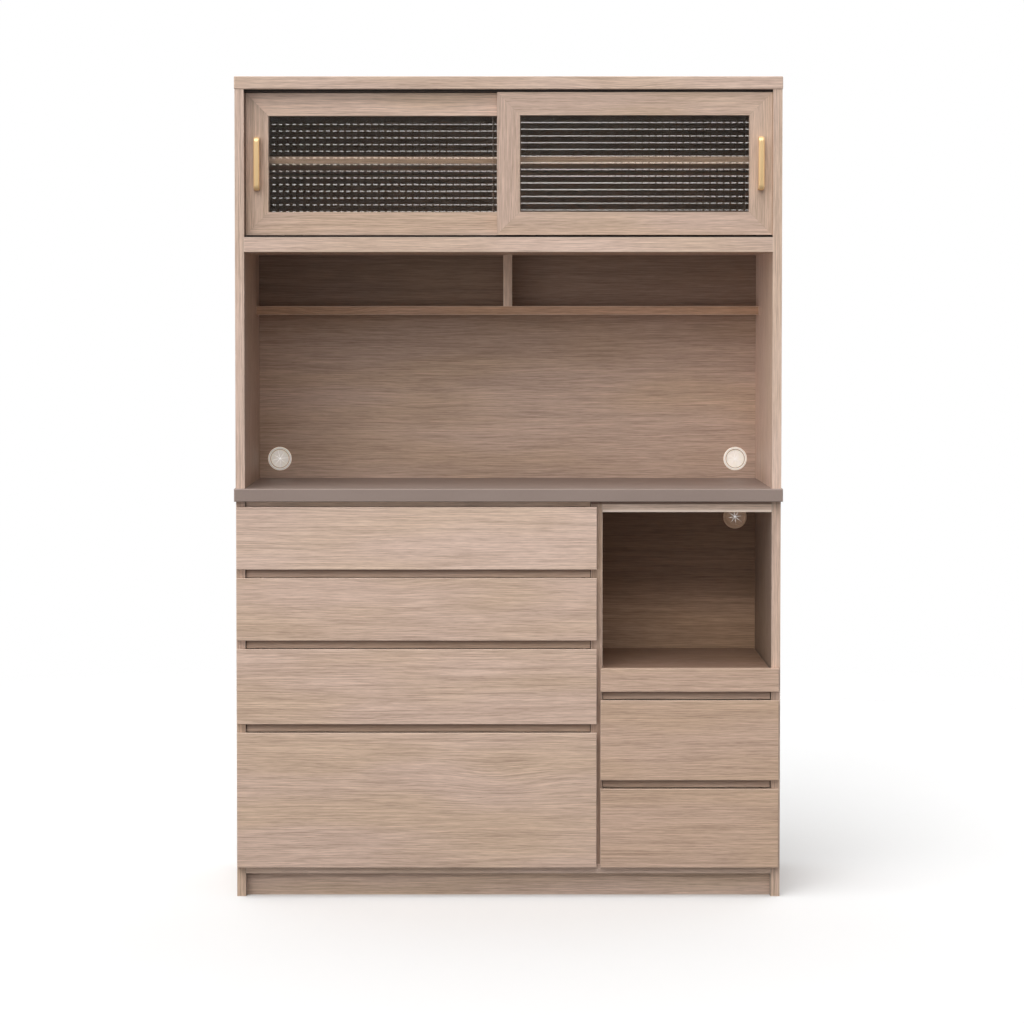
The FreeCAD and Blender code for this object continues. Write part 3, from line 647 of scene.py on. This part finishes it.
def stop_felt():
    """Brown felt, as short fibres of two tones in a rough nap."""
    material, wires, surface = finish("stop_felt")
    fibres = wires.noise(wires.place(), (2600.0, 2600.0, 900.0), detail=3.0, roughness=0.6)
    roughness = wires.drift(fibres, *ROUGHNESS["felt"])
    lay(wires, surface, wires.mix(wires.drift(fibres), *FELT), roughness, fibres, RELIEF["felt"])
    return material


def chequered_glass():
    """Clear pressed glass, a little uneven in its polish, with a bright skin outside and none within."""
    material, wires, surface = finish("chequered_glass")
    polish = wires.noise(wires.place(), 45.0, detail=3.0)
    wires.feed(surface.inputs["Base Color"], wires.mix(polish, *WARM_GLASS))
    wires.feed(surface.inputs["Roughness"], wires.drift(polish, *ROUGHNESS["glass"]))
    inside = wires.node("ShaderNodeNewGeometry").outputs["Backfacing"]
    wires.feed(surface.inputs["Coat Weight"], wires.rest(inside))
    plain = {"Transmission Weight": 1.0, "IOR": 1.36, "Coat Roughness": 0.05, "Coat IOR": 2.8}
    for socket, value in plain.items():
        surface.inputs[socket].default_value = value
    return material


# Surfaces worked out as arrays

def piece(name, body, surface, material, smooth_faces):
    """Puts a surface, points and faces, on a body. As many of its first faces as are given are smooth."""
    points, faces = surface
    mesh = bpy.data.meshes.new(name)
    mesh.from_pydata(points.tolist(), [], faces)
    mesh.update()
    mesh.polygons.foreach_set("use_smooth", np.arange(len(faces)) < smooth_faces)
    mesh.materials.append(material)
    made = bpy.data.objects.new(name, mesh)
    bpy.context.scene.collection.objects.link(made)
    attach(made, body)
    return made


def stand_in(name, node, surface, material, smooth_faces=None):
    """A piece that stands for a CAD node on that node's body, all smooth unless a count is given."""
    made = piece(name, BODY_OF[node], surface, material, smooth_faces or len(surface[1]))
    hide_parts(node)
    return made


def as_one(surfaces):
    """Several surfaces, each points and faces, as one."""
    starts = np.cumsum([0] + [len(points) for points, _ in surfaces])
    faces = []
    for start, (_, part) in zip(starts, surfaces):
        faces.extend((np.array(part) + start).tolist())
    return np.concatenate([points for points, _ in surfaces]), faces


def lattice(rows, columns, round_rows=False, round_columns=False):
    """Quads of a grid of points numbered row by row; a round way joins its last line to its first."""
    row = np.arange(rows if round_rows else rows - 1)[:, None]
    column = np.arange(columns if round_columns else columns - 1)[None, :]
    row_after, column_after = (row + 1) % rows * columns, (column + 1) % columns
    row = row * columns
    corners = [row + column, row + column_after, row_after + column_after, row_after + column]
    return np.stack(corners, axis=-1).reshape(-1, 4).tolist()


def rim_of(rows, columns):
    """The numbers of a grid's outermost points, once round."""
    number = np.arange(rows * columns).reshape(rows, columns)
    return np.concatenate([number[0, :-1], number[:-1, -1], number[-1, :0:-1], number[:0:-1, 0]])


def band(first, second):
    """Quads between two closed rings of points of the same count."""
    return np.stack([first, second, np.roll(second, -1), np.roll(first, -1)], axis=-1).tolist()


def slab(front, back):
    """A closed body between two grids of points of the same size."""
    rows, columns = front.shape[:2]
    rim, near = rim_of(rows, columns), lattice(rows, columns)
    far = (np.array(near)[:, ::-1] + rows * columns).tolist()
    points = np.concatenate([front.reshape(-1, 3), back.reshape(-1, 3)])
    return points, near + band(rim, rim + rows * columns) + far


def cell_places(low, high, start):
    """Places along a row of cells, some on every cell and one on each border, and which are on a border."""
    step = GLASS_CELL / CELL_STEPS
    number = np.arange(math.ceil((low - start) / step), math.floor((high - start) / step) + 1)
    places = np.concatenate([[low], start + number * step, [high]])
    return places, np.concatenate([[False], number % CELL_STEPS == 0, [False]])


def pillows(places, start):
    """Height from 0 to 1 along a row of cells: one less the square of the distance from a cell's middle."""
    share = (places - start) / GLASS_CELL
    return 1 - (2 * (share - np.floor(share)) - 1) ** 2


def crease(mesh, border_rows, border_columns):
    """Makes the edges along the borders sharp, on the grid that the mesh starts with."""
    ends = np.empty(2 * len(mesh.edges), int)
    mesh.edges.foreach_get("vertices", ends)
    row, column = np.divmod(ends.reshape(-1, 2), len(border_columns))
    on_grid = (row < len(border_rows)).all(axis=1)
    row = np.minimum(row, len(border_rows) - 1)
    along_row = (row[:, 0] == row[:, 1]) & border_rows[row[:, 0]]
    along_column = (column[:, 0] == column[:, 1]) & border_columns[column[:, 0]]
    mesh.edges.foreach_set("use_edge_sharp", on_grid & (along_row | along_column))


def chequered_pane(node, phase, material):
    """A pane whose front is a field of square pillows and whose back is flat.

    The front's height at a point is the sum of a pillow across and a pillow up, each times its relief. The
    cells count from the left edge of the opening in the frame, and from its top edge plus the phase. A
    plain rim under the top edge keeps the height that the pattern has at the rim's lower side.
    """
    low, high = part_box(node)
    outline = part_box(node.replace("glass", "frame"))
    left, top = outline[0].x + FRAME_WIDTH, outline[1].z - FRAME_WIDTH
    across, across_borders = cell_places(low.x, high.x, left)
    up, up_borders = cell_places(low.z, high.z, top + phase)
    x, z = np.meshgrid(across, up)
    rows = pillows(np.minimum(z, top - GLASS_RIM), top + phase)
    hollow = GLASS_RELIEF_ACROSS * (1 - pillows(x, left)) + GLASS_RELIEF_UP * (1 - rows)
    front = np.stack([x, low.y + hollow, z], axis=-1).reshape(-1, 3)
    rim = rim_of(*x.shape)
    behind = x.size + np.arange(len(rim))
    points = np.concatenate([front, front[rim]])
    points[x.size:, 1] = high.y
    cells = lattice(*x.shape)
    surface = points, cells + band(rim, behind) + [behind[::-1].tolist()]
    pane = stand_in(f"{node}_chequered", node, surface, material, len(cells))
    crease(pane.data, up_borders, across_borders)
    return pane


def signed_power(values, power):
    """The sizes of values to a power, with their signs kept."""
    return np.sign(values) * np.abs(values) ** power


def bridge_handle(node, material):
    """A flattened bar carried along a bridge: a leg, a bend, the grip, a bend and a leg.

    The path lies in the plane of Y and Z. Round a bend its angle grows evenly from the leg's way to the
    grip's, and its lower half mirrors its upper half. The section is a flattened oval: its two ways are
    powers of the cosine and the sine of an angle, each below one, so that its faces are nearly flat and its
    edges round.
    """
    low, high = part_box(node)
    turn = np.linspace(0, math.pi / 2, BEND_POINTS)
    facing = np.stack([-np.sin(turn), np.cos(turn)], axis=-1)
    bend_centre = np.array([low.y + BAR_HALF + BAR_BEND, high.z - BAR_HALF - BAR_BEND])
    foot = np.array([[high.y, high.z - BAR_HALF]])
    upper = np.concatenate([foot, bend_centre + BAR_BEND * facing])
    upper_outward = np.concatenate([facing[:1], facing])
    mirror = np.array([1.0, -1.0])
    path = np.concatenate([upper, np.array([0, low.z + high.z]) + upper[::-1] * mirror])
    outward = np.concatenate([upper_outward, upper_outward[::-1] * mirror])
    angle = np.linspace(0, 2 * math.pi, OVAL_POINTS, endpoint=False)
    side = (high.x - low.x) / 2 * signed_power(np.cos(angle), OVAL_SIDE_POWER)
    lift = BAR_HALF * signed_power(np.sin(angle), OVAL_LIFT_POWER)
    points = np.empty((len(path), OVAL_POINTS, 3))
    points[..., 0] = (low.x + high.x) / 2 + side
    points[..., 1:] = path[:, None, :] + lift[:, None] * outward[:, None, :]
    ring = np.arange(OVAL_POINTS)
    ends = [ring[::-1].tolist(), (ring + (len(path) - 1) * OVAL_POINTS).tolist()]
    surface = points.reshape(-1, 3), lattice(len(path), OVAL_POINTS, round_columns=True) + ends
    return stand_in(f"{node}_bridge", node, surface, material)


def revolved(profile, centre):
    """A closed profile of radius and depth, turned about the Y axis through a centre."""
    angle = np.linspace(0, 2 * math.pi, TURN_POINTS, endpoint=False)
    radius, depth = profile[:, :1], profile[:, 1:]
    points = np.stack([centre[0] + radius * np.cos(angle), centre[1] + depth + 0 * angle,
                       centre[2] + radius * np.sin(angle)], axis=-1)
    return points.reshape(-1, 3), lattice(len(profile), TURN_POINTS, True, True)


def slit_petals(centre):
    """Petals of a thin membrane with slits between them, each dished towards the middle.

    A petal is a grid of radius by share of its sector, less half a slit on each side. The slit closes
    towards the rim, and the petal sinks as a cosine from the rim to the middle. The share falls from one to
    nothing, so that the faces point outwards.
    """
    radius_points, share_points = PETAL_POINTS
    reach = np.linspace(PETAL_START, MOUTH_RADIUS + PETAL_TUCK, radius_points)
    radius, share = np.meshgrid(reach, np.linspace(1, 0, share_points), indexing="ij")
    slit = SLIT_CLOSED + SLIT_OPENING * np.clip((SLIT_END - radius) / SLIT_FADE, 0, 1)
    room = 2 * np.arcsin(slit / 2 / radius)
    sink = MEMBRANE_DEPTH + MEMBRANE_DISH * np.cos(math.pi / 2 * radius / MOUTH_RADIUS)
    sector = 2 * math.pi / PETALS
    petals = []
    for start in np.arange(PETALS) * sector + PETAL_TURN:
        angle = start + room / 2 + share * (sector - room)
        front = np.stack([radius * np.cos(angle), sink, radius * np.sin(angle)], axis=-1) + centre
        petals.append(slab(front, front + np.array([0.0, MEMBRANE_THICKNESS, 0.0])))
    return petals


def cord_grommets(node):
    """Three grommets, each a flange with a sleeve through the panel, and slit petals across its mouth.

    The flange's section rises as a quarter of an ellipse from its outer edge, runs flat, and falls as a
    smaller quarter of a circle into the mouth.
    """
    low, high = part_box(node)
    face = low.y + FLANGE_LIP
    left, right = low.x + FLANGE_RADIUS, high.x - FLANGE_RADIUS
    upper, lower = high.z - FLANGE_RADIUS, low.z + FLANGE_RADIUS
    centres = np.array([(left, face, upper), (right, face, upper), (right, face, lower)])
    quarter = np.linspace(0, math.pi / 2, ROUND_POINTS)
    outer = np.stack([FLANGE_RADIUS - FLANGE_ROUND * (1 - np.cos(quarter)),
                      -FLANGE_LIP * np.sin(quarter)], axis=-1)
    inner = np.stack([MOUTH_RADIUS + MOUTH_ROUND * (1 - np.sin(quarter)),
                      MOUTH_ROUND * (1 - np.cos(quarter)) - FLANGE_LIP], axis=-1)
    rear = high.y - face
    sleeve = np.array([[MOUTH_RADIUS, rear], [SLEEVE_RADIUS, rear], [SLEEVE_RADIUS, 0.0]])
    profile = np.concatenate([outer, inner, sleeve])
    surfaces = []
    for centre in centres:
        surfaces.append(revolved(profile, centre))
        surfaces.extend(slit_petals(centre))
    material = grommet_plastic(centres.tolist())
    return stand_in(f"{node}_slit", node, as_one(surfaces), material)


def stop_strip(door, board):
    """A thin felt strip on an end board, which closes the gap beside a shut door and leaves it play."""
    low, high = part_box(f"{door}_frame")
    across, up = np.meshgrid([high.x + STRIP_PLAY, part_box(board)[0].x], [low.z, high.z])
    front = np.stack([across, np.full((2, 2), low.y + STRIP_SETBACK), up], axis=-1)
    back = np.stack([across, np.full((2, 2), high.y), up], axis=-1)
    return piece(f"{door}_stop_strip", BODY_OF[board], slab(front, back), stop_felt(), 0)


# Studio

# The floor: half its width, where it fades, its colour for the camera and for other rays, and its roughness
FLOOR_HALF = 9.0
FLOOR_FADE = (1.6, 4.2)
FLOOR_SEEN = (0.87, 0.87, 0.87, 1.0)
FLOOR_UNSEEN = (0.15, 0.15, 0.15, 1.0)
FLOOR_ROUGHNESS = 0.9

# The strip of light that the glass mirrors: its place, what it looks at, its size, power and colour
LAMP_PLACE = (0.185, -2.2, 2.07)
LAMP_TARGET = (0.185, -0.2, 1.61)
LAMP_SIZE = (1.53, 0.16)
LAMP_POWER = 1.45
LAMP_COLOUR = (1.0, 0.94, 0.88)

# The sky's zones: how bright each is, and the ranges of a direction's parts over which it comes and goes
FRONT_END = (-0.15, 0.10)
KEY_LIGHT = 4.0
KEY_START = 0.26
KEY_LIFT = 0.10
KEY_FULL = 0.52
KEY_LEFT = (-0.80, -0.50)
KEY_RIGHT = (0.00, 0.35)
TOP_LIGHT = 4.0
TOP_START = (0.70, 0.85)
TOP_RIGHT = (-0.10, 0.30)
TOP_RIGHT_SHARE = 0.3
FILL_LIGHT = 1.1
FILL_START = (-0.30, -0.10)
FILL_END = (0.15, 0.35)
FILL_SIDES = (1.8, 0.2)
BACK_LIGHT = (0.1, 1.1)
BACK_START = (0.0, 0.4)
BACK_RISE = (-0.1, 0.4)
FLANK_LIGHT = 1.8
FLANK_START = (0.50, 0.72)
LEAST_LEVEL = 0.001

# The photograph's view: the camera's place, its fall, its focal length over the image's width, its shift
CAMERA_PLACE = (-0.033, -6.620, 1.290)
CAMERA_FALL = math.radians(2.016)
FOCAL_SHARE = 2.864
CAMERA_SHIFT = (0.0182, -0.096)


def pale_floor():
    """A plain pale floor that fades out around the cupboard and throws little light back up."""
    corners = [(-FLOOR_HALF, -FLOOR_HALF, 0), (FLOOR_HALF, -FLOOR_HALF, 0),
               (FLOOR_HALF, FLOOR_HALF, 0), (-FLOOR_HALF, FLOOR_HALF, 0)]
    mesh = bpy.data.meshes.new("studio_floor")
    mesh.from_pydata(corners, [], [(0, 1, 2, 3)])
    material, wires, surface = finish("studio_floor")
    seen = wires.node("ShaderNodeLightPath").outputs["Is Camera Ray"]
    wires.feed(surface.inputs["Base Color"], wires.mix(seen, FLOOR_UNSEEN, FLOOR_SEEN))
    reach = wires.reach("LENGTH", wires.place())
    wires.feed(surface.inputs["Alpha"], wires.spread(reach, *FLOOR_FADE, 1.0, 0.0))
    surface.inputs["Roughness"].default_value = FLOOR_ROUGHNESS
    mesh.materials.append(material)
    floor = bpy.data.objects.new("studio_floor", mesh)
    bpy.context.scene.collection.objects.link(floor)


def glass_strip():
    """A long rectangular light that the pillows of the glass mirror as dashes."""
    light = bpy.data.lights.new("glass_strip", "AREA")
    light.shape = "RECTANGLE"
    light.size, light.size_y = LAMP_SIZE
    light.energy = LAMP_POWER
    light.color = LAMP_COLOUR
    lamp = bpy.data.objects.new("glass_strip", light)
    lamp.location = LAMP_PLACE
    lamp.rotation_euler = (Vector(LAMP_TARGET) - Vector(LAMP_PLACE)).to_track_quat("-Z", "Y").to_euler()
    lamp.visible_camera = False
    bpy.context.scene.collection.objects.link(lamp)


def soft_sky():
    """A sky that a camera sees as plain white, and that lights the cupboard by soft zones.

    In front, a key zone is high and to the left, a top zone is above it, and a fill is low and stronger from
    the left. A weak zone is behind. Rays that mirror see less of the key, no fill, and two bright flanks.
    Rays through the glass see what plain light sees. A zone's brightness is a product of smooth steps of the
    direction's height, depth or side, or of its turn, which is its side over its level length.
    """
    world = bpy.data.worlds.new("white_surround")
    bpy.context.scene.world = world
    world.use_nodes = True
    wires = Wiring(world.node_tree)
    ray = wires.node("ShaderNodeLightPath").outputs
    way = wires.node("ShaderNodeTexCoord").outputs["Generated"]
    side, depth, height = wires.parts(wires.vector("NORMALIZE", way))
    level = wires.math("SQRT", wires.rest(wires.math("MULTIPLY", height, height)))
    turn = wires.math("DIVIDE", side, wires.math("MAXIMUM", level, LEAST_LEVEL))
    mirrored = wires.math("MULTIPLY", ray["Is Glossy Ray"], wires.rest(ray["Is Transmission Ray"]))
    key_start = wires.math("MULTIPLY_ADD", mirrored, KEY_LIFT, KEY_START)
    key = wires.chain("MULTIPLY", wires.spread(height, key_start, KEY_FULL, 0.0, KEY_LIGHT),
                      wires.spread(height, *TOP_START, 1.0, 0.0),
                      wires.spread(turn, *KEY_LEFT), wires.spread(turn, *KEY_RIGHT, 1.0, 0.0))
    top = wires.math("MULTIPLY", wires.spread(height, *TOP_START, 0.0, TOP_LIGHT),
                     wires.spread(side, *TOP_RIGHT, 1.0, TOP_RIGHT_SHARE))
    fill = wires.chain("MULTIPLY", wires.spread(height, *FILL_START, 0.0, FILL_LIGHT),
                       wires.spread(height, *FILL_END, 1.0, 0.0),
                       wires.rest(mirrored), wires.spread(turn, -1.0, 1.0, *FILL_SIDES))
    front = wires.spread(depth, *FRONT_END, 1.0, 0.0)
    ahead = wires.math("MULTIPLY", front, wires.chain("ADD", key, top, fill))
    behind = wires.math("MULTIPLY", wires.spread(depth, *BACK_START),
                        wires.spread(height, *BACK_RISE, *BACK_LIGHT))
    flank = wires.spread(wires.math("ABSOLUTE", side), *FLANK_START, 0.0, FLANK_LIGHT)
    strength = wires.chain("ADD", ahead, behind, wires.math("MULTIPLY", mirrored, flank))
    background = world.node_tree.nodes["Background"]
    background.inputs["Color"].default_value = (1.0, 1.0, 1.0, 1.0)
    seen = ray["Is Camera Ray"]
    wires.feed(background.inputs["Strength"], wires.math("MULTIPLY_ADD", wires.rest(seen), strength, seen))
    bpy.context.scene.view_settings.view_transform = "Standard"


def photo_camera():
    """A camera at the photograph's place, which takes the middle of its view by a little fall and shift."""
    lens = bpy.data.cameras.new("photo_camera")
    lens.lens = lens.sensor_width * FOCAL_SHARE
    lens.shift_x, lens.shift_y = CAMERA_SHIFT
    eye = bpy.data.objects.new("photo_camera", lens)
    eye.location = CAMERA_PLACE
    eye.rotation_euler = (math.pi / 2 - CAMERA_FALL, 0.0, 0.0)
    bpy.context.scene.collection.objects.link(eye)
    bpy.context.scene.camera = eye


# Dressing the cupboard

def dress(node, material):
    """Gives a CAD node its finish."""
    NODES[node].data.materials.clear()
    NODES[node].data.materials.append(material)


# Boards by the way of their grain, each with its colours, lighter and deeper copies of one oak as painted
# light and shade
ACROSS = {"drawer_1_front": LIT_OAK, "drawer_2_front": OAK, "drawer_3_front": OAK, "drawer_4_front": OAK,
          "drawer_5_front": SHADED_RIGHT_OAK, "drawer_6_front": SHADED_RIGHT_OAK, "tray_front": SHADED_RIGHT_OAK,
          "tray_board": SHADED_OAK, "bottom_board": LIT_OAK, "plinth_board": OAK,
          "bay_top_board": LIT_SHELF_OAK, "hutch_top_board": LIT_OAK, "cabinet_floor": LIT_OAK,
          "cabinet_shelf": LIT_SHELF_OAK, "spice_shelf": SHADED_SPICE_OAK}
UPRIGHT = {"lower_side_left": OAK, "lower_side_right": OAK, "lower_partition": SHADED_BACK_OAK,
           "hutch_side_left": LIT_OAK, "hutch_side_right": LIT_OAK, "spice_divider": LIT_OAK}

# Back panels, each with its colours and its pairs of height and tone of painted light and shade
PANELS = {"hutch_back_panel": (SHADED_BACK_OAK, [(0.92, 1.08), (1.10, 1.14), (1.27, 0.88),
                                          (1.30, 0.62), (1.42, 0.62), (1.44, 0.45)]),
          "lower_back_panel": (SHADED_BAY_OAK, [(0.57, 1.45), (0.68, 0.79)])}

# Doors, each with the painted light on its top rail, as a factor of its tone, and the phase of its pane's
# cells
DOORS = {"left_door": (1.25, 0.0010), "right_door": (1.00, 0.0037)}
SLIDES = [f"{mover}_slide_{member}" for mover in DRAWERS + ["tray"] for member in ("inner", "middle")]

# A board's number is its place on the sheet of grain
for axis, boards in (("x", ACROSS), ("z", UPRIGHT)):
    for number, (node, colours) in enumerate(boards.items(), start=1):
        dress(node, oak_board(node, number, axis, colours))
for number, (node, (colours, tones)) in enumerate(PANELS.items(), start=31):
    dress(node, panel_oak(node, number, colours, tones))
for number, (door, (top_rail_light, _)) in enumerate(DOORS.items(), start=41):
    dress(f"{door}_frame", mitred_oak(f"{door}_frame", number, top_rail_light))
for number, drawer in enumerate(DRAWERS, start=51):
    dress(f"{drawer}_box", lining_board(f"{drawer}_box", number))
dress("drawer_rails", rail_oak(61))
dress("countertop", counter_laminate())
dress("bay_ceiling_panel", pale_panel())
dress("hutch_dowels", beech())

steel = slide_steel()
for node in SLIDES + ["slide_channels", "shelf_pins"]:
    dress(node, steel)
for door in DOORS:
    bridge_handle(f"{door}_handle", handle_brass(f"{door}_handle"))
track = moulded_plastic("track_plastic", TRACK_BROWN)
nylon = moulded_plastic("glide_nylon", GLIDE_BROWN)
for node, material in (("upper_door_track", track), ("lower_door_track", track),
                       ("left_door_glides", nylon), ("right_door_glides", nylon)):
    dress(node, material)
cord_grommets("cord_grommets")
stop_strip("right_door", "hutch_side_right")

glass = chequered_glass()
for door, (_, phase) in DOORS.items():
    chequered_pane(f"{door}_glass", phase, glass)

pale_floor()
glass_strip()
soft_sky()
photo_camera()
